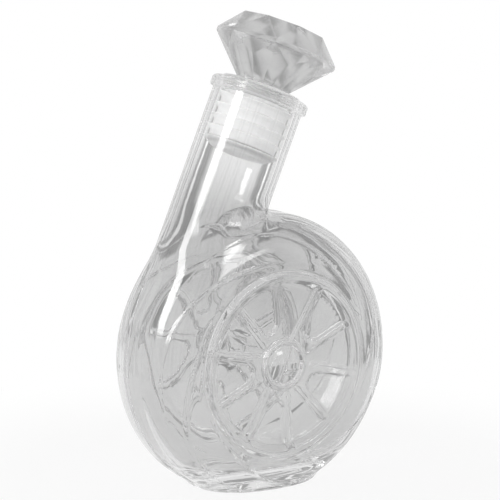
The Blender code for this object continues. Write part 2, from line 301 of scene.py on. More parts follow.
def blankSolid(grow):
    # overlapping rough solids that the voxel remesh turns into one closed skin
    bm = bmesh.new()
    turn = Matrix.Translation(centre) @ Matrix.Rotation(pi / 2, 4, "X")
    reach = wheel["shoulder"] + grow
    for degrees in blank["slices"]:
        angle = radians(degrees)
        radius = wheel["radius"] - wheel["shoulder"] + reach * cos(angle)
        bmesh.ops.create_cone(
            bm, cap_ends=True, segments=blank["sides"], radius1=radius, radius2=radius,
            depth=wheel["tread"] + 2 * reach * sin(angle + blank["overlap"]), matrix=turn,
        )
    length = neck["length"] * blank["neckShare"]
    radius = neck["radius"] + grow
    bmesh.ops.create_cone(
        bm, cap_ends=True, segments=blank["neckSides"], radius1=radius, radius2=radius,
        depth=length, matrix=neckFrame @ Matrix.Translation((0, 0, length / 2)),
    )
    return bm


def voxelSkin(name, bm, skin, voxel, planes, fine=None):
    mesh = bpy.data.meshes.new(name)
    bm.to_mesh(mesh)
    bm.free()
    rough = addObject(name, mesh)
    remesh = rough.modifiers.new("voxels", "REMESH")
    remesh.mode = "VOXEL"
    remesh.voxel_size = voxel
    evaluated = rough.evaluated_get(bpy.context.evaluated_depsgraph_get())
    bm = bmesh.new()
    bm.from_mesh(evaluated.to_mesh())
    bpy.data.objects.remove(rough, do_unlink=True)
    moveCorners(bm, settle(coordinates(bm), skin))
    if fine:
        edges = [e for e in bm.edges if all(fine(v.co) for v in e.verts)]
        bmesh.ops.subdivide_edges(bm, edges=edges, cuts=1, use_grid_fill=True)
        moveCorners(bm, settle(coordinates(bm), skin))
    # edges run along each moulded line, and the skin ends where a turned or relief patch begins
    for spot, normal, trim in planes:
        bmesh.ops.bisect_plane(
            bm, geom=bm.verts[:] + bm.edges[:] + bm.faces[:], dist=skinMesh["snap"] * voxel,
            plane_co=spot, plane_no=normal, use_snap_center=True, clear_outer=trim,
        )
    bmesh.ops.delete(bm, geom=[e for e in bm.edges if e.is_wire], context="EDGES")
    bmesh.ops.delete(bm, geom=[v for v in bm.verts if not v.link_edges], context="VERTS")
    bmesh.ops.dissolve_degenerate(bm, dist=skinMesh["sliver"], edges=bm.edges)
    points = coordinates(bm)
    held = np.zeros_like(points)
    for spot, normal, _ in planes:
        away = (points - np.array(spot)) @ np.array(normal)
        near = np.abs(away) < skinMesh["onLine"]
        points[near] -= away[near, None] * np.array(normal)
        held[near] = np.array(normal)
    moveCorners(bm, settle(points, skin, held))
    bmesh.ops.remove_doubles(bm, verts=[v for v in bm.verts if v.is_boundary], dist=skinMesh["border"])
    bmesh.ops.triangulate(bm, faces=[f for f in bm.faces if len(f.verts) > 4])
    return bm


def borderLoops(bm):
    # the open edges as closed rings of vertices
    loops, seen = [], set()
    for start in [v for v in bm.verts if v.is_boundary]:
        if start in seen:
            continue
        ring = [start]
        seen.add(start)
        while True:
            steps = [e.other_vert(ring[-1]) for e in ring[-1].link_edges if e.is_boundary]
            steps = [v for v in steps if v not in seen]
            if not steps:
                break
            ring.append(steps[0])
            seen.add(steps[0])
        loops.append(ring)
    return loops


def keepNormals(bm, skin):
    layer = bm.verts.layers.float_vector.new(skinMesh["layer"])
    for vert, slope in zip(bm.verts, gradient(skin, coordinates(bm))):
        vert[layer] = Vector(slope).normalized()


print("scene: fields ready")

relief = {
    "drop": 1.6 * mm,  # the relief sits this much below the wheel's centre
    "rimRise": 1.0 * mm,  # of the ring over the face
    "rimFoot": 45.3 * mm,
    "moat": 46.2 * mm,  # middle of the fine groove round the ring
    "moatHalf": 1.0 * mm,
    "moatDepth": 0.5 * mm,
    "moatPower": 1.5,  # above 1 its sides run out softly
    "rimOuter": 1.2 * mm,  # widths of the ring's two sides
    "rimInner": 39.2 * mm,
    "rimSlope": 2.8 * mm,
    "dish": 26.6 * mm,
    "spokeRise": 1.1 * mm,
    "spokeSide": 1.0 * mm,
    "pairs": 5,
    "firstPair": radians(41.0),
    "half": radians(18.0),  # of the angle between the bars of a pair
    "barHub": 2.6 * mm,  # half width of a bar at the hub
    "barRim": 2.1 * mm,
    "taper": (-0.3, 1.2),  # it goes on a little past both ends of the bar
    "windowTip": 18.0 * mm,
    "hub": 14.0 * mm,
    "hubSlope": 2.4 * mm,
    "hubTop": 29.5 * mm,
    "hubFoot": 1.0 * mm,  # the hub's side goes on this far under the dish
    "hubSoft": 0.3 * mm,
    "groove": 2.0 * mm,
    "button": 9.4 * mm,
    "buttonSlope": 0.8 * mm,
    "buttonTop": 30.5 * mm,
    "buttonSoft": 0.2 * mm,
    "round": 0.25,  # share of a slope that is rounded at each end
    "rounds": 7,  # of the search for the skin
    "flattest": 0.1,
    "longestMove": 2.0 * mm,
}


def pairDistance(u, v):
    # how far inside a bar pair each point is; below zero outside
    r = np.hypot(u, v)
    step = 2 * pi / relief["pairs"]
    angle = (np.arctan2(v, u) - relief["firstPair"] + step / 2) % step - step / 2
    x, y = r * np.cos(angle), r * np.abs(np.sin(angle))
    c, s = cos(relief["half"]), sin(relief["half"])
    along, aside = x * c + y * s, y * c - x * s
    t = (along - relief["hub"]) / (relief["rimInner"] - relief["hub"])
    width = relief["barHub"] + (relief["barRim"] - relief["barHub"]) * np.clip(t, *relief["taper"])
    outer = width - aside
    # the window between the bars has a round inner end
    side = relief["barRim"]
    tip = relief["windowTip"]
    middle = (tip - side) / (1 - s)
    reach = np.hypot(x - middle, y)
    atTip = aside * s + (along - middle * c) * c < 0.0
    window = np.where(atTip, reach - (middle - tip), aside + side)
    inWindow = (x > middle) | (reach < middle - tip)
    window = np.where(inWindow, np.minimum(window, aside + side), window)
    return np.minimum(outer, window)


def ramp(value, start, run):
    # 0 before start and 1 after start + run, straight between and rounded at both ends
    t = (value - start) / run
    return softMin(softMax(t, 0.0, relief["round"]), 1.0, relief["round"])


def plainHeight(u, v):
    # height of the outer skin over the wheel's middle plane, on either face
    start = wheel["tread"] / 2 + wheel["shoulder"] - wheel["sinkShort"]
    longest = relief["longestMove"]
    points = np.stack([u, np.full_like(u, start), v + wheel["height"]], 1)
    for _ in range(relief["rounds"]):
        here = outerSkin(points)
        steep = (outerSkin(points + np.array((0.0, probe, 0.0))) - here) / probe
        points[:, 1] -= np.clip(here / np.maximum(steep, relief["flattest"]), -longest, longest)
    return points[:, 1]


def faceHeight(u, v):
    # ring and groove on the plain face, then the dish with its spokes, then the hub with its button
    r = np.hypot(u, v + relief["drop"])
    ring = 1.0 - ramp(r, relief["rimFoot"] - relief["rimOuter"], relief["rimOuter"])
    height = plainHeight(u, v) + relief["rimRise"] * ring
    moat = np.maximum(1.0 - ((r - relief["moat"]) / relief["moatHalf"]) ** 2, 0.0)
    height = height - relief["moatDepth"] * moat ** relief["moatPower"]
    spokes = ramp(pairDistance(u, v + relief["drop"]), 0.0, relief["spokeSide"])
    floor = relief["dish"] + relief["spokeRise"] * spokes
    height = floor + (height - floor) * ramp(r, relief["rimInner"], relief["rimSlope"])
    hubRise = relief["hubTop"] - relief["dish"] + relief["hubFoot"]
    hub = relief["hubTop"] - hubRise * ramp(r, relief["hub"] - relief["hubSlope"], relief["hubSlope"])
    dip = relief["hubTop"] - relief["groove"]
    hub = dip + (hub - dip) * ramp(r, relief["button"], relief["buttonSlope"])
    dome = relief["buttonTop"] - (relief["buttonTop"] - dip) * (r / relief["button"]) ** 2
    onButton = r < relief["button"] + relief["buttonSlope"] / 2
    hub = np.where(onButton, softMax(hub, dome, relief["buttonSoft"]), hub)
    onHub = r < relief["hub"] + relief["hubFoot"]
    return np.where(onHub, softMax(height, hub, relief["hubSoft"]), height)


# the corners and edges of the relief's own mesh
patch = {
    "spacing": 0.9 * mm,  # of corners along a ring
    "slope": (-0.1, 0.05, 0.2, 0.5, 0.8, 0.95, 1.1),  # where rings cross the side of ring and hub
    "rimSlope": (-0.06, 0.0, 0.06, 0.12, 0.25, 0.4, 0.6, 0.75, 0.88, 0.94),
    "moat": (-0.5, 0.0, 0.5, 1.0),
    "spokeSide": (0.0, 0.2, 0.5, 0.8, 1.0),
    "dome": (0.96, 0.9, 0.82, 0.7, 0.56, 0.4, 0.2),
    "barSteps": 44,
    "windowSteps": 30,
    "tipSteps": 8,
    "barStart": 0.3 * mm,  # bars are drawn from this far outside the hub
    "barStop": 0.5 * mm,
    "borderLine": 0.8 * mm,  # the swirl's lines stop this far inside the border
    "moatLine": 1.4 * mm,  # and this far outside the groove
    "fill": 1.7 * mm,  # spacing of loose corners on the dish
    "fillStart": 0.8 * mm,
    "fillStop": 1.0 * mm,
    "barClear": 0.6 * mm,
    "barTopClear": 0.5 * mm,
    "edgeFill": 0.9 * mm,  # and outside the ring
    "edgePast": 3.0 * mm,
    "borderClear": 0.75 * mm,
    "moatClear": 1.6 * mm,
    "rowHeight": 0.866,  # of a row of even triangles
    "same": 1e-7,
}


def spun(line, angle):
    c, s = cos(angle), sin(angle)
    return [(x * c - y * s, x * s + y * c) for x, y in line]


def circlePoints(radius, count, turn=0.0):
    angles = [turn + 2 * pi * k / count for k in range(count)]
    return [(radius * cos(a), radius * sin(a)) for a in angles]


def arc(middle, radius, first, last, steps):
    angles = [first + (last - first) * k / steps for k in range(steps + 1)]
    return [(middle[0] + radius * cos(a), middle[1] + radius * sin(a)) for a in angles]


def pairOutline(draft, turn):
    # the edges of a bar pair at a given distance inside its foot line
    half, hub, rim = relief["half"], relief["hub"], relief["rimInner"]
    outer = []
    for k in range(patch["barSteps"] + 1):
        t = k / patch["barSteps"]
        width = relief["barHub"] + (relief["barRim"] - relief["barHub"]) * t
        outer.append((hub + (rim - hub) * t, width - draft))
    middle = (relief["windowTip"] - relief["barRim"]) / (1 - sin(half))
    radius = middle - relief["windowTip"] + draft
    start = middle * cos(half)
    shares = [1 - k / patch["windowSteps"] for k in range(patch["windowSteps"] + 1)]
    window = spun([(start + (rim - start) * share, draft - relief["barRim"]) for share in shares], half)
    for k in range(1, patch["tipSteps"] + 1):
        angle = half + pi / 2 + (pi / 2 - half) * k / patch["tipSteps"]
        window.append((middle + radius * cos(angle), radius * sin(angle)))
    edge = spun(outer, half)
    return [spun([(x, sign * y) for x, y in path], turn) for sign in (1, -1) for path in (window, edge)]


def swirlLine(rib, aside, first, last):
    # one rib's path on the face, moved aside by a distance
    line = []
    for k in range(swirl["steps"] + 1):
        r = first + (last - first) * k / swirl["steps"]
        turn = swirl["start"] + 2 * pi * rib / swirl["count"] + float(swirlTurn(r))
        turn += aside * Vector((swirlLean(r), 1.0 / r)).length
        line.append((r * cos(turn), r * sin(turn)))
    return line


def hexGrid(spacing, reach):
    rows = int(reach / spacing) + 1
    for j in range(-rows, rows + 1):
        for i in range(-rows, rows + 1):
            yield (i + 0.5 * (j % 2)) * spacing, j * spacing * patch["rowHeight"]


def ringRadii():
    # rings of corners wherever the relief bends
    hub, button = relief["hub"], relief["button"]
    radii = [relief["rimFoot"] - relief["rimOuter"] * (1 - f) for f in patch["slope"]]
    radii += [relief["rimInner"] + relief["rimSlope"] * f for f in patch["rimSlope"]]
    radii += [relief["moat"] + relief["moatHalf"] * f for f in patch["moat"]]
    radii += [hub - relief["hubSlope"] * (1 - f) for f in patch["slope"]]
    radii += [button + relief["buttonSlope"] * f for f in patch["spokeSide"]]
    return radii + [button * f for f in patch["dome"]]


def facePatch(border):
    # border is the ring that closes the patch; returns corners and triangles in the face's plane
    corners = [Vector(p) for p in border]
    edges = [(k, (k + 1) % len(border)) for k in range(len(border))]

    def addLine(line, closed=False):
        first = len(corners)
        corners.extend(Vector(p) for p in line)
        edges.extend((first + k, first + k + 1) for k in range(len(line) - 1))
        if closed:
            edges.append((first + len(line) - 1, first))

    drop, hub, rimInner = relief["drop"], relief["hub"], relief["rimInner"]
    rim = np.array(border)
    nearest = float(np.hypot(rim[:, 0], rim[:, 1]).min()) - patch["borderLine"]
    for radius in ringRadii():
        count = max(8, int(2 * pi * radius / patch["spacing"]))
        addLine([(x, y - drop) for x, y in circlePoints(radius, count)], closed=True)
    for pair in range(relief["pairs"]):
        turn = relief["firstPair"] + 2 * pi * pair / relief["pairs"]
        for share in patch["spokeSide"]:
            for line in pairOutline(relief["spokeSide"] * share, turn):
                low, high = hub + patch["barStart"], rimInner - patch["barStop"]
                addLine([(x, y - drop) for x, y in line if low < Vector((x, y)).length < high])
    for rib in range(swirl["count"]):
        for share in across:
            line = swirlLine(rib, share * swirl["ribHalf"], swirl["inner"] + swirl["margin"], nearest)
            low = relief["moat"] + patch["moatLine"]
            addLine([(x, y) for x, y in line if Vector((x, y + drop)).length > low])
    for u, v in hexGrid(patch["fill"], rimInner):
        if hub + patch["fillStart"] < Vector((u, v)).length < rimInner - patch["fillStop"]:
            inside = float(pairDistance(np.array([u]), np.array([v]))[0])
            if inside < -patch["barClear"] or inside > relief["spokeSide"] + patch["barTopClear"]:
                corners.append(Vector((u, v - drop)))
    for u, v in hexGrid(patch["edgeFill"], nearest + patch["edgePast"]):
        gap = np.hypot(rim[:, 0] - u, rim[:, 1] - v)
        closest = rim[int(gap.argmin())]
        within = Vector((u, v)).length < Vector(closest).length and gap.min() > patch["borderClear"]
        if within and Vector((u, v + drop)).length > relief["moat"] + patch["moatClear"]:
            corners.append(Vector((u, v)))
    outline = [list(range(len(border)))]
    found, _, faces, origins, *_ = delaunay_2d_cdt(corners, edges, outline, 1, patch["same"])
    known = [next((k for k in origin if k < len(border)), None) for origin in origins]
    return found, faces, known


def addFaces(bm):
    layer = bm.verts.layers.float_vector[skinMesh["layer"]]
    for ring in borderLoops(bm):
        depth = ring[0].co.y
        if abs(abs(depth) - wheel["patchEdge"]) > skinMesh["same"]:
            continue
        side = -1.0 if depth < 0 else 1.0
        found, faces, known = facePatch([(v.co.x, v.co.z - wheel["height"]) for v in ring])
        u, v = np.array([p[:] for p in found]).T
        height = faceHeight(u, v)
        du = (faceHeight(u + probe, v) - faceHeight(u - probe, v)) / (2 * probe)
        dv = (faceHeight(u, v + probe) - faceHeight(u, v - probe)) / (2 * probe)
        verts = []
        for k in range(len(found)):
            if known[k] is not None:
                verts.append(ring[known[k]])
                continue
            vert = bm.verts.new((u[k], side * height[k], v[k] + wheel["height"]))
            vert[layer] = Vector((-du[k], side, -dv[k])).normalized()
            verts.append(vert)
        for face in faces:
            corners = [verts[k] for k in face]
            if len(set(corners)) == 3:
                bm.faces.new(corners)


def lipProfiles():
    # the turned upper neck: outside up to the middle of the mouth, and inside up to the same ring
    r, bore, collar, cut = neck["radius"], neck["bore"], neck["collar"], neck["cut"]
    low, top, steps = neck["collarLow"], neck["length"], neck["steps"]
    fillet, mouth = neck["fillet"], neck["mouthRound"]
    lowRound, topRound = neck["lowRound"], neck["topRound"]
    outside = [(r, cut + (low - fillet - cut) * k / steps) for k in range(steps)]
    outside += arc((r + fillet, low - fillet), fillet, pi, pi / 2, 4)
    outside += arc((collar - lowRound, low + lowRound), lowRound, -pi / 2, 0.0, 6)
    for line in neck["lines"]:
        for share in across:
            depth = neck["lineDepth"] * (1.0 - share * share)
            outside.append((collar - depth, line + neck["lineHalf"] * share))
    outside += arc((collar - topRound, top - topRound), topRound, 0.0, pi / 2, 8)
    outside += [((collar - topRound + bore + mouth) / 2, top)]
    inside = [(bore, cut + (top - mouth - cut) * k / steps) for k in range(steps)]
    inside += arc((bore + mouth, top - mouth), mouth, pi, pi / 2, 6)
    return outside, inside


def turnedSkin(bm, ring, profile, inward):
    # carries a ring on the neck up along the profile
    layer = bm.verts.layers.float_vector[skinMesh["layer"]]
    inverse = neckFrame.inverted()
    angles = [atan2(p.y, p.x) for p in (inverse @ v.co for v in ring)]
    previous = ring
    for k in range(1, len(profile)):
        radius, height = profile[k]
        before, after = profile[k - 1], profile[min(k + 1, len(profile) - 1)]
        along = Vector((after[0] - before[0], after[1] - before[1])).normalized()
        outward = Vector((along.y, -along.x))
        if inward:
            outward = -outward
        current = []
        for a in angles:
            vert = bm.verts.new(neckFrame @ Vector((radius * cos(a), radius * sin(a), height)))
            normal = Vector((outward.x * cos(a), outward.x * sin(a), outward.y))
            vert[layer] = neckFrame.to_3x3() @ normal
            current.append(vert)
        for j in range(len(ring)):
            nxt = (j + 1) % len(ring)
            bm.faces.new((previous[j], previous[nxt], current[nxt], current[j]))
        previous = current


def neckRing(bm):
    for ring in borderLoops(bm):
        if abs((ring[0].co - neckFoot).dot(neckAxis) - neck["cut"]) < skinMesh["same"]:
            return ring
    raise RuntimeError("the neck has no open ring")


def zipRings(bm, first, second):
    # triangles between two rings round the neck, taking whichever next corner comes sooner
    inverse = neckFrame.inverted()

    def ordered(ring):
        turns = sorted((atan2(p.y, p.x), k) for k, p in enumerate(inverse @ v.co for v in ring))
        angles = [a for a, _ in turns] + [turns[0][0] + 2 * pi]
        return angles, [ring[k] for _, k in turns] + [ring[turns[0][1]]]

    a, left = ordered(first)
    b, right = ordered(second)
    i = j = 0
    while i < len(first) or j < len(second):
        if j == len(second) or (i < len(first) and a[i + 1] < b[j + 1]):
            bm.faces.new((left[i], left[i + 1], right[j]))
            i += 1
        else:
            bm.faces.new((left[i], right[j + 1], right[j]))
            j += 1


def finishPiece(name, bm):
    mesh = bpy.data.meshes.new(name)
    bm.to_mesh(mesh)
    bm.free()
    mesh.shade_smooth()
    return addObject(name, mesh)


def onSwirl(spot):
    # the part of the shoulder that carries the ribs outside the face patch
    r = Vector((spot.x, spot.z - wheel["height"])).length
    return abs(spot.y) > swirl["fineSide"] and swirl["fineInner"] < r < swirl["outer"] + swirl["margin"]


def makeBottle():
    planes = []
    for side in (-1, 1):
        out = (0.0, side, 0.0)
        planes.append(((0.0, side * wheel["patchEdge"], 0.0), out, True))
        for share in (0.0, 0.5, 1.0):
            line = wheel["bandHalf"] + share * wheel["stepWidth"]
            planes.append(((0.0, side * line, 0.0), out, False))
    neckCut = (tuple(neckFoot + neck["cut"] * neckAxis), tuple(neckAxis), True)
    planes.append(neckCut)
    outer = voxelSkin("outer_skin", blankSolid(0.0), outerSkin, skinMesh["outerVoxel"], planes, onSwirl)
    keepNormals(outer, outerSkin)
    addFaces(outer)
    outsideProfile, insideProfile = lipProfiles()
    turnedSkin(outer, neckRing(outer), outsideProfile, False)
    print("scene: outer skin, %d corners" % len(outer.verts))

    blankInside = blankSolid(-blank["wall"])
    inner = voxelSkin("inner_skin", blankInside, innerSkin, skinMesh["innerVoxel"], [neckCut])
    keepNormals(inner, lambda points: -innerSkin(points))
    turnedSkin(inner, neckRing(inner), insideProfile, True)
    print("scene: inner skin, %d corners" % len(inner.verts))

    # both skins go into one mesh and meet across the mouth
    held = bpy.data.meshes.new("inner_skin")
    inner.to_mesh(held)
    inner.free()
    outer.from_mesh(held)
    bpy.data.meshes.remove(held)
    zipRings(outer, *borderLoops(outer))
    bmesh.ops.recalc_face_normals(outer, faces=outer.faces)
    if outer.calc_volume(signed=True) < 0.0:
        bmesh.ops.reverse_faces(outer, faces=outer.faces)
    print("scene: %.0f ml of glass, %d faces" % (outer.calc_volume() * 1e6, len(outer.faces)))
    layer = outer.verts.layers.float_vector[skinMesh["layer"]]
    normals = [v[layer].copy() for v in outer.verts]
    piece = finishPiece("wheel_bottle", outer)
    piece.data.normals_split_custom_set_from_vertices(normals)
    return piece


bottle = makeBottle()
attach(bottle, "bottle")
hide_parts("glass_bottle")

plug = {
    "depth": 33.4 * mm,
    "core": 16.8 * mm,
    "throat": 10.2 * mm,  # the sleeve is slim inside the lip, where clear glass shows
    "throatEnd": -5.4 * mm,
    "shoulder": 1.5 * mm,
    "tip": 18.96 * mm,  # the blades just press into the bore
    "ribs": 5,
    "firstRib": 8.2 * mm,
    "pitch": 5.5 * mm,
    "root": 3.0 * mm,
    "waist": 0.5 * mm,  # outside the core a blade is down to about half its root
    "waistShare": 0.5,
    "waistDroop": 0.3,  # share of the droop there
    "blade": 0.4 * mm,
    "bladeEdge": 0.2 * mm,
    "droop": 0.6 * mm,  # the blades bend up where the bore holds them
    "flange": 19.6 * mm,
    "flangeLow": 0.3 * mm,
    "flangeTop": 1.5 * mm,
    "flangeRound": 0.6 * mm,
    "socket": 8.8 * mm,
    "socketFloor": -20.5 * mm,
    "end": 4.5 * mm,
    "steps": 128,
    "sharp": radians(40.0),
}


def turnedPiece(name, profile, steps, frameMatrix):
    # a closed outline of (radius, height) turned about the neck's axis; it starts and ends on it
    bm = bmesh.new()
    rings = []
    for radius, height in profile:
        spots = circlePoints(radius, steps) if radius else [(0.0, 0.0)]
        rings.append([bm.verts.new((x, y, height)) for x, y in spots])
    for lower, upper in zip(rings, rings[1:]):
        for k in range(steps):
            nxt = (k + 1) % steps
            low = [lower[k % len(lower)], lower[nxt % len(lower)]]
            high = [upper[nxt % len(upper)], upper[k % len(upper)]]
            bm.faces.new(list(dict.fromkeys(low + high)))
    bmesh.ops.recalc_face_normals(bm, faces=bm.faces)
    bmesh.ops.transform(bm, matrix=frameMatrix, verts=bm.verts)
    return finishPiece(name, bm)


def makePlug():
    p = plug
    profile = [(0.0, -p["depth"])]
    profile += arc((p["core"] - p["end"], p["end"] - p["depth"]), p["end"], -pi / 2, 0.0, 8)
    root, blade, droop = p["root"] / 2, p["blade"] / 2, p["droop"]
    waist, edge = p["core"] + p["waist"], p["tip"] - p["bladeEdge"]
    share, bend = p["waistShare"], p["waistDroop"] * droop
    for k in reversed(range(p["ribs"])):
        level = -p["firstRib"] - p["pitch"] * k
        profile += [(p["core"], level - root), (waist, level - share * root - blade + bend)]
        profile += [(edge, level - blade + droop), (p["tip"], level + droop)]
        profile += [(edge, level + blade + droop)]
        profile += [(waist, level + share * root + blade + bend), (p["core"], level + root)]
    low, top = p["flangeLow"], p["flangeTop"]
    shoulder = (p["core"] - p["shoulder"], p["throatEnd"] - p["shoulder"])
    profile += arc(shoulder, p["shoulder"], 0.0, pi / 2, 5)
    profile += [(p["throat"], p["throatEnd"]), (p["throat"], low)]
    rim = (p["flange"] - p["flangeRound"], (low + top) / 2)
    profile += arc(rim, (top - low) / 2, -pi / 2, pi / 2, 8)
    profile += [(p["socket"], top), (p["socket"], p["socketFloor"]), (0.0, p["socketFloor"])]
    piece = turnedPiece("ribbed_sleeve", profile, p["steps"], mouthFrame)
    piece.data.set_sharp_from_angle(angle=p["sharp"])
    return piece


sleeve = makePlug()
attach(sleeve, "stopper")
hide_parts("ribbed_plug")

stopper = {
    "sides": 8,
    "turn": radians(-14.3),  # of a corner of the table from +X
    "seat": 1.8 * mm,  # above the mouth
    "seatRadius": 12.2 * mm,
    "pavilion": 18.8 * mm,
    "girdle": 2.0 * mm,
    "crown": 10.5 * mm,
    "radius": 30.2 * mm,
    "table": 21.3 * mm,
    "breakDepth": 7.5 * mm,
    "breakBulge": 1.3 * mm,
    "flat": radians(0.5),  # facets that differ by less are one
    "edge": 0.22 * mm,  # softness of the cut edges
    "sharp": radians(20.0),
    "shank": 8.5 * mm,
    "shankLength": 22.0 * mm,
    "shankRound": 1.0 * mm,
    "shankSteps": 64,
}


def ringAt(radius, count, height, turn):
    return [(x, y, height) for x, y in circlePoints(radius, count, turn)]


def makeStopper():
    s = stopper
    low = s["seat"] + s["pavilion"]
    high = low + s["girdle"]
    half = pi / s["sides"]
    girdleTurn = s["turn"] + half
    flat = s["radius"] * cos(half)
    breakRadius = flat + (s["seatRadius"] - flat) * s["breakDepth"] / s["pavilion"] + s["breakBulge"]
    points = ringAt(s["table"], s["sides"], high + s["crown"], s["turn"])
    points += ringAt(s["radius"], s["sides"], high, girdleTurn)
    points += ringAt(s["radius"], s["sides"], low, girdleTurn)
    points += ringAt(breakRadius, s["sides"], low - s["breakDepth"], s["turn"])
    points += ringAt(s["seatRadius"], 2 * s["sides"], s["seat"], s["turn"])
    bm = bmesh.new()
    for point in points:
        bm.verts.new(point)
    bmesh.ops.convex_hull(bm, input=bm.verts)
    bmesh.ops.dissolve_limit(bm, angle_limit=s["flat"], verts=bm.verts, edges=bm.edges)
    bmesh.ops.bevel(
        bm, geom=bm.edges[:] + bm.verts[:], offset=s["edge"], offset_type="OFFSET", segments=2, profile=0.5,
        affect="EDGES", clamp_overlap=True,
    )
    bmesh.ops.transform(bm, matrix=mouthFrame, verts=bm.verts)
    piece = finishPiece("cut_stopper", bm)
    piece.data.set_sharp_from_angle(angle=s["sharp"])
    end, top, turn = s["seat"] - s["shankLength"], s["seat"] + s["shank"] / 2, s["shankRound"]
    profile = [(0.0, end)] + arc((s["shank"] - turn, end + turn), turn, -pi / 2, 0.0, 4)
    shank = turnedPiece("shank", profile + [(s["shank"], top), (0.0, top)], s["shankSteps"], mouthFrame)
    join = piece.modifiers.new("shank", "BOOLEAN")
    join.object = shank
    join.operation = "UNION"
    join.solver = "EXACT"
    evaluated = piece.evaluated_get(bpy.context.evaluated_depsgraph_get())
    mesh = bpy.data.meshes.new_from_object(evaluated)
    piece.modifiers.clear()
    piece.data = mesh
    bpy.data.objects.remove(shank, do_unlink=True)
    return piece


head = makeStopper()
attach(head, "stopper")
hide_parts("stopper_head")
print("scene: plug and stopper made")


def addNode(tree, kind, **values):
    made = tree.nodes.new(kind)
    for name, value in values.items():
        if name in made.inputs:
            made.inputs[name].default_value = value
        else:
            setattr(made, name, value)
    return made


def setOrLink(tree, value, socket):
    # a value is set on the socket, and another node's output is linked to it
    if isinstance(value, bpy.types.NodeSocket):
        tree.links.new(value, socket)
    else:
        socket.default_value = value


def feed(tree, node, values):
    for title, value in values.items():
        setOrLink(tree, value, node.inputs[title])


def addMath(tree, operation, *terms, clamp=False):
    step = addNode(tree, "ShaderNodeMath", operation=operation, use_clamp=clamp)
    for term, socket in zip(terms, step.inputs):
        setOrLink(tree, term, socket)
    return step.outputs[0]


def mapped(tree, value, fromLow, fromHigh, toLow=0.0, toHigh=1.0):
    span = addNode(tree, "ShaderNodeMapRange", interpolation_type="SMOOTHSTEP")
    feed(tree, span, {"Value": value, "From Min": fromLow, "From Max": fromHigh})
    feed(tree, span, {"To Min": toLow, "To Max": toHigh})
    return span.outputs[0]


def blend(tree, share, first, second):
    mix = addNode(tree, "ShaderNodeMix", data_type="RGBA")
    tree.links.new(share, mix.inputs[0])
    setOrLink(tree, first, mix.inputs[6])
    setOrLink(tree, second, mix.inputs[7])
    return mix.outputs[2]


def mixShaders(tree, share, first, second):
    mix = addNode(tree, "ShaderNodeMixShader")
    for source, socket in zip((share, first, second), mix.inputs):
        tree.links.new(source, socket)
    return mix.outputs[0]


def bumpFrom(tree, height, distance):
    bump = addNode(tree, "ShaderNodeBump", Strength=1.0, Distance=distance)
    tree.links.new(height, bump.inputs["Height"])
    return bump.outputs[0]


def noiseOver(tree, size, detail):
    # soft noise in the object's own space; size is the length of one cloud
    place = addNode(tree, "ShaderNodeTexCoord")
    noise = addNode(tree, "ShaderNodeTexNoise", Detail=detail)
    feed(tree, noise, {"Vector": place.outputs["Object"], "Scale": addMath(tree, "DIVIDE", 1.0, size)})
    return noise.outputs[0]


def newMaterial(name):
    material = bpy.data.materials.new(name)
    material.use_nodes = True
    return material, material.node_tree, material.node_tree.nodes["Principled BSDF"]


def newGroup(name, inputs, outputs):
    tree = bpy.data.node_groups.new(name, "ShaderNodeTree")
    for title, kind in inputs.items():
        tree.interface.new_socket(title, in_out="INPUT", socket_type=kind)
    for title in outputs:
        tree.interface.new_socket(title, in_out="OUTPUT", socket_type="NodeSocketFloat")
    return tree, addNode(tree, "NodeGroupInput"), addNode(tree, "NodeGroupOutput")


allGlass = {
    "index": 1.5,
    "lastBounce": 8.5,
    "lastMirror": 3.5,
    "shadow": (0.9, 0.9, 0.9, 1.0),
    "rippleHeight": 0.12,  # heights are shares of the wave's
    "seedHeight": 0.1,
    "seedEdge": (0.045, 0.015),  # shares of the spacing of the seeds
    "cloudLength": 2.4,  # times the wave length
    "cloudEdge": (0.35, 0.65),
    "hazeEdge": (0.62, 0.75),
}

bottleGlass = {
    "colour": (0.78, 0.78, 0.78, 1.0),
    "thick": (0.65, 0.65, 0.65, 1.0),  # painted shade, strongest over the upper part of the wheel and the neck's root; the same grey also makes the faint clouds
    "clouds": 0.2,  # share of that grey in faint clouds elsewhere
    "detail": {
        "Wave Length": 13.0 * mm,
        "Ripple Length": 3.5 * mm,
        "Seed Spacing": 8.0 * mm,
    },
    # painted shade: the glass greys within the first distance of this point and fades out by the second
    "paintedShadeSpot": (Vector((0.0, 0.0, 112.0)) * mm, 14.0 * mm, 56.0 * mm),
    "thin": (0.91, 0.91, 0.91, 1.0),  # painted light: the upper neck and collar are paler round the spot below
    "thinSpot": (mouthFrame @ Vector((0.0, 0.0, -10.0 * mm)), 26.0 * mm, 60.0 * mm),
    "waveHeight": 0.07 * mm,
    "roughness": (0.0, 0.03),
}

stopperGlass = {
    "colour": (0.60, 0.60, 0.60, 1.0),
    # painted shade: darker round the seat at the mouth; the same grey also makes the clouds
    "thick": (0.54, 0.54, 0.54, 1.0),
    "clouds": 1.0,
    "detail": {
        "Wave Length": 9.0 * mm,
        "Ripple Length": 2.5 * mm,
        "Seed Spacing": 5.0 * mm,
    },
    "paintedShadeSpot": (mouthFrame @ Vector((0.0, 0.0, 2.0 * mm)), 3.0 * mm, 12.0 * mm),
    # painted light: paler round the top of the stopper
    "thin": (0.64, 0.64, 0.64, 1.0),
    "thinSpot": (mouthFrame @ Vector((0.0, 0.0, 33.0 * mm)), 10.0 * mm, 24.0 * mm),
    "waveHeight": 0.04 * mm,
    "roughness": (0.17, 0.25),  # moulded, with little polish
}

plastic = {
    "colour": (0.98, 0.98, 0.98, 1.0),
    "worn": (0.95, 0.95, 0.95, 1.0),
    "roughness": (0.28, 0.5),
    "glow": 1.0,  # how milky the plastic is
    "glowReach": 8.0 * mm,
    "cloudSize": 9.0 * mm,
    "cloudEdge": (0.35, 0.65),
    "grainSize": 0.35 * mm,
    "grainHeight": 0.01 * mm,
}


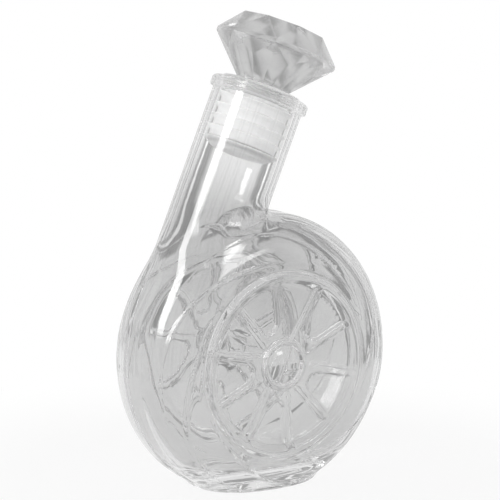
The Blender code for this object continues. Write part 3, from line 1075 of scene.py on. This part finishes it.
def makeGlassGroup():
    # pressed glass: slow waves, a fine ripple, a few seeds (tiny bubbles), faint haze and greyer clouds
    look = allGlass
    inputs = {title: "NodeSocketFloat" for title in ("Wave Length", "Ripple Length", "Seed Spacing")}
    tree, given, result = newGroup("pressed glass", inputs, ("Height", "Haze", "Cloud"))
    waveLength = given.outputs["Wave Length"]
    wave = noiseOver(tree, waveLength, 1.0)
    ripple = noiseOver(tree, given.outputs["Ripple Length"], 1.0)
    place = addNode(tree, "ShaderNodeTexCoord")
    seeds = addNode(tree, "ShaderNodeTexVoronoi", feature="F1")
    density = addMath(tree, "DIVIDE", 1.0, given.outputs["Seed Spacing"])
    feed(tree, seeds, {"Vector": place.outputs["Object"], "Scale": density})
    dot = mapped(tree, seeds.outputs["Distance"], *look["seedEdge"])
    height = addMath(tree, "MULTIPLY_ADD", ripple, look["rippleHeight"], wave)
    height = addMath(tree, "MULTIPLY_ADD", dot, look["seedHeight"], height)
    cloud = noiseOver(tree, addMath(tree, "MULTIPLY", waveLength, look["cloudLength"]), 2.0)
    feed(tree, result, {
        "Height": height,
        "Haze": mapped(tree, ripple, *look["hazeEdge"]),
        "Cloud": mapped(tree, cloud, *look["cloudEdge"]),
    })
    return tree


def makeSpotGroup():
    # a mask that is 1 near a place on the object and 0 far from it
    inputs = {"Spot": "NodeSocketVector", "Near": "NodeSocketFloat", "Far": "NodeSocketFloat"}
    tree, given, result = newGroup("near a spot", inputs, ("Mask",))
    place = addNode(tree, "ShaderNodeTexCoord")
    gap = addNode(tree, "ShaderNodeVectorMath", operation="DISTANCE")
    tree.links.new(place.outputs["Object"], gap.inputs[0])
    tree.links.new(given.outputs["Spot"], gap.inputs[1])
    reach = given.outputs["Near"], given.outputs["Far"]
    feed(tree, result, {"Mask": mapped(tree, gap.outputs["Value"], *reach, 1.0, 0.0)})
    return tree


glassGroup = makeGlassGroup()
spotGroup = makeSpotGroup()


def nearSpot(tree, spot, near, far):
    mask = addNode(tree, "ShaderNodeGroup", node_tree=spotGroup)
    feed(tree, mask, {"Spot": spot, "Near": near, "Far": far})
    return mask.outputs["Mask"]


def glassMaterial(name, look):
    material, tree, shader = newMaterial(name)
    detail = addNode(tree, "ShaderNodeGroup", node_tree=glassGroup)
    feed(tree, detail, look["detail"])
    # painted shade greys the glass round one spot, in the same grey as the faint clouds; painted light
    # makes it paler round another spot
    cloud = addMath(tree, "MULTIPLY", detail.outputs["Cloud"], look["clouds"])
    grey = addMath(tree, "MAXIMUM", nearSpot(tree, *look["paintedShadeSpot"]), cloud)
    colour = blend(tree, grey, look["colour"], look["thick"])
    feed(tree, shader, {
        "IOR": allGlass["index"],
        "Transmission Weight": 1.0,
        "Base Color": blend(tree, nearSpot(tree, *look["thinSpot"]), colour, look["thin"]),
        "Roughness": mapped(tree, detail.outputs["Haze"], 0.0, 1.0, *look["roughness"]),
        "Normal": bumpFrom(tree, detail.outputs["Height"], look["waveHeight"]),
    })
    # lamps shine through, so the floor keeps a pale shadow, and so does light caught in the walls
    path = addNode(tree, "ShaderNodeLightPath")
    through = path.outputs["Is Shadow Ray"]
    for depth, limit in (("Ray Depth", allGlass["lastBounce"]), ("Glossy Depth", allGlass["lastMirror"])):
        caught = addMath(tree, "GREATER_THAN", path.outputs[depth], limit)
        through = addMath(tree, "MAXIMUM", through, caught)
    clear = addNode(tree, "ShaderNodeBsdfTransparent", Color=allGlass["shadow"])
    surface = mixShaders(tree, through, shader.outputs[0], clear.outputs[0])
    feed(tree, tree.nodes["Material Output"], {"Surface": surface})
    return material


def plasticMaterial(name):
    material, tree, shader = newMaterial(name)
    cloud = mapped(tree, noiseOver(tree, plastic["cloudSize"], 3.0), *plastic["cloudEdge"])
    grain = noiseOver(tree, plastic["grainSize"], 2.0)
    feed(tree, shader, {
        "Subsurface Weight": plastic["glow"],
        "Subsurface Radius": (1.0, 1.0, 1.0),
        "Subsurface Scale": plastic["glowReach"],
        "Base Color": blend(tree, cloud, plastic["colour"], plastic["worn"]),
        "Roughness": mapped(tree, cloud, 0.0, 1.0, *plastic["roughness"]),
        "Normal": bumpFrom(tree, grain, plastic["grainHeight"]),
    })
    return material


bottle.data.materials.append(glassMaterial("bottle_glass", bottleGlass))
head.data.materials.clear()
head.data.materials.append(glassMaterial("stopper_glass", stopperGlass))
sleeve.data.materials.append(plasticMaterial("plug_plastic"))
print("scene: materials made")

view = {
    "turn": radians(34.4),  # the camera stands this far round from the front, on the neck's side
    "rise": radians(10.3),
    "distance": 1.517,
    "lens": 223.2,
    "sensor": 36.0,
    "farthest": 20.0,
    "right": 0.59 * mm,  # of the wheel's centre from the middle of the picture
    "up": -49.6 * mm,
}


def direction(turn, up):
    # turn is from the front of the wheel, and below zero towards the neck
    return Vector((sin(turn) * cos(up), -cos(turn) * cos(up), sin(up)))


def makeCamera():
    right = Vector((cos(view["turn"]), -sin(view["turn"]), 0.0))
    back = direction(-view["turn"], view["rise"])
    up = back.cross(right)
    spot = centre - view["right"] * right - view["up"] * up + view["distance"] * back
    camera = addObject("camera", bpy.data.cameras.new("camera"))
    camera.matrix_world = Matrix.Translation(spot) @ Matrix((right, up, back)).transposed().to_4x4()
    camera.data.sensor_width = view["sensor"]
    camera.data.lens = view["lens"]
    camera.data.clip_end = view["farthest"]
    bpy.context.scene.camera = camera


lampAim = Vector((0.0, 0.0, 0.12))

softbox = {
    "power": 8.5,
    "turn": radians(-83.4),
    "rise": radians(27.0),
    "distance": 1.1,
    "size": (0.36, 0.8),
    "edge": 0.35,  # share of its half width over which it fades out
}

sideLight = {
    "power": 4.5,
    "turn": radians(14.0),
    "rise": radians(26.0),
    "distance": 1.3,
    "size": (0.66, 0.28),
    "edge": 0.5,
}

studio = {
    "floor": 0.26,  # radius
    "floorColour": (0.8, 0.8, 0.8, 1.0),
    "floorFleck": (0.76, 0.76, 0.76, 1.0),
    "fleckEdge": (0.45, 0.65),
    "floorGrain": 0.7 * mm,
    "floorBump": 0.03 * mm,
    "floorRoughness": (0.8, 0.95),
    "roughEdge": (0.3, 0.7),
    "floorSheen": 0.2,
    "floorWhite": 0.85,  # share of plain white in the floor as seen; the rest keeps the shadow
    "floorFade": (0.10, 0.24),  # it is all white further out, so that the floor's edge doesn't show
    "panels": 14,  # white panels round the table with grey gaps between them
    "panelEdge": (-0.4, 0.3),
    "panelWhite": 1.0,
    "gapGrey": 0.42,
    "stripEdge": (-0.9, -1.0),
    "stripWhite": 0.9,  # narrow bright tubes in the middle of the gaps
    "roofEdge": (0.35, 0.75),
    "roofGrey": 0.5,
    "white": (1.0, 1.0, 1.0, 1.0),
}


def rayShare(tree, kinds):
    # 1 for the kinds of ray named, 0 for the others
    path = addNode(tree, "ShaderNodeLightPath")
    total = path.outputs[kinds[0]]
    for kind in kinds[1:]:
        total = addMath(tree, "ADD", total, path.outputs[kind], clamp=True)
    return total


def makeFloor():
    bm = bmesh.new()
    bmesh.ops.create_circle(bm, cap_ends=True, segments=96, radius=studio["floor"])
    floor = finishPiece("floor", bm)
    material, tree, shader = newMaterial("floor")
    grain = noiseOver(tree, studio["floorGrain"], 3.0)
    fleck = mapped(tree, grain, *studio["fleckEdge"])
    feed(tree, shader, {
        "Specular IOR Level": studio["floorSheen"],
        "Base Color": blend(tree, fleck, studio["floorColour"], studio["floorFleck"]),
        "Roughness": mapped(tree, grain, *studio["roughEdge"], *studio["floorRoughness"]),
        "Normal": bumpFrom(tree, grain, studio["floorBump"]),
    })
    place = addNode(tree, "ShaderNodeTexCoord")
    reach = addNode(tree, "ShaderNodeVectorMath", operation="LENGTH")
    tree.links.new(place.outputs["Object"], reach.inputs[0])
    far = mapped(tree, reach.outputs["Value"], *studio["floorFade"], studio["floorWhite"], 1.0)
    seen = rayShare(tree, ["Is Camera Ray", "Is Glossy Ray", "Is Transmission Ray"])
    share = addMath(tree, "MULTIPLY", seen, far)
    white = addNode(tree, "ShaderNodeEmission", Color=studio["white"], Strength=1.0)
    surface = mixShaders(tree, share, shader.outputs[0], white.outputs[0])
    feed(tree, tree.nodes["Material Output"], {"Surface": surface})
    floor.data.materials.append(material)


def makeWorld():
    world = bpy.data.worlds.new("studio")
    bpy.context.scene.world = world
    world.use_nodes = True
    tree = world.node_tree
    back = tree.nodes["Background"]
    place = addNode(tree, "ShaderNodeTexCoord")
    split = addNode(tree, "ShaderNodeSeparateXYZ")
    tree.links.new(place.outputs["Generated"], split.inputs[0])
    x, y, z = split.outputs
    # a panel stands straight behind the bottle as the camera sees it
    turn = addMath(tree, "SUBTRACT", addMath(tree, "ARCTAN2", x, y), view["turn"])
    wave = addMath(tree, "COSINE", addMath(tree, "MULTIPLY", turn, studio["panels"]))
    panels = mapped(tree, wave, *studio["panelEdge"], studio["gapGrey"], studio["panelWhite"])
    tubes = mapped(tree, wave, *studio["stripEdge"], 0.0, studio["stripWhite"])
    level = addNode(tree, "ShaderNodeMix", data_type="FLOAT")
    tree.links.new(mapped(tree, z, *studio["roofEdge"]), level.inputs[0])
    tree.links.new(addMath(tree, "ADD", panels, tubes), level.inputs[2])
    level.inputs[3].default_value = studio["roofGrey"]
    feed(tree, back, {"Color": studio["white"], "Strength": level.outputs[0]})
    white = addNode(tree, "ShaderNodeBackground", Color=studio["white"], Strength=1.0)
    surface = mixShaders(tree, rayShare(tree, ["Is Camera Ray"]), back.outputs[0], white.outputs[0])
    feed(tree, tree.nodes["World Output"], {"Surface": surface})


def makeLamp(name, lamp):
    light = bpy.data.lights.new(name, "AREA")
    light.shape = "RECTANGLE"
    light.size, light.size_y = lamp["size"]
    light.energy = lamp["power"]
    light.use_nodes = True
    tree = light.node_tree
    spread = addNode(tree, "ShaderNodeNewGeometry")
    split = addNode(tree, "ShaderNodeSeparateXYZ")
    tree.links.new(spread.outputs["Parametric"], split.inputs[0])
    level = 1.0
    for axis in (0, 1):
        aside = addMath(tree, "ABSOLUTE", addMath(tree, "SUBTRACT", split.outputs[axis], 0.5))
        fade = mapped(tree, aside, 0.5 * (1 - lamp["edge"]), 0.5, 1.0, 0.0)
        level = addMath(tree, "MULTIPLY", fade, level)
    feed(tree, tree.nodes["Emission"], {"Strength": level})
    stand = addObject(name, light)
    away = direction(lamp["turn"], lamp["rise"])
    stand.location = lampAim + lamp["distance"] * away
    stand.rotation_euler = away.to_track_quat("Z", "Y").to_euler()
    return stand


def shield(stand, pieces):
    # as a black card would, keeps a lamp off some of the pieces
    kept = bpy.data.collections.new(stand.name + "_kept_off")
    for piece in pieces:
        kept.objects.link(piece)
    for link in kept.collection_objects:
        link.light_linking.link_state = "EXCLUDE"
    stand.light_linking.receiver_collection = kept


makeCamera()
makeFloor()
makeWorld()
# the softbox draws the streak down the neck; seen through the stopper it would wash out its corner
shield(makeLamp("softbox", softbox), [head, sleeve])
makeLamp("side_light", sideLight)
bpy.context.scene.view_settings.view_transform = "Standard"
print("scene: studio made")
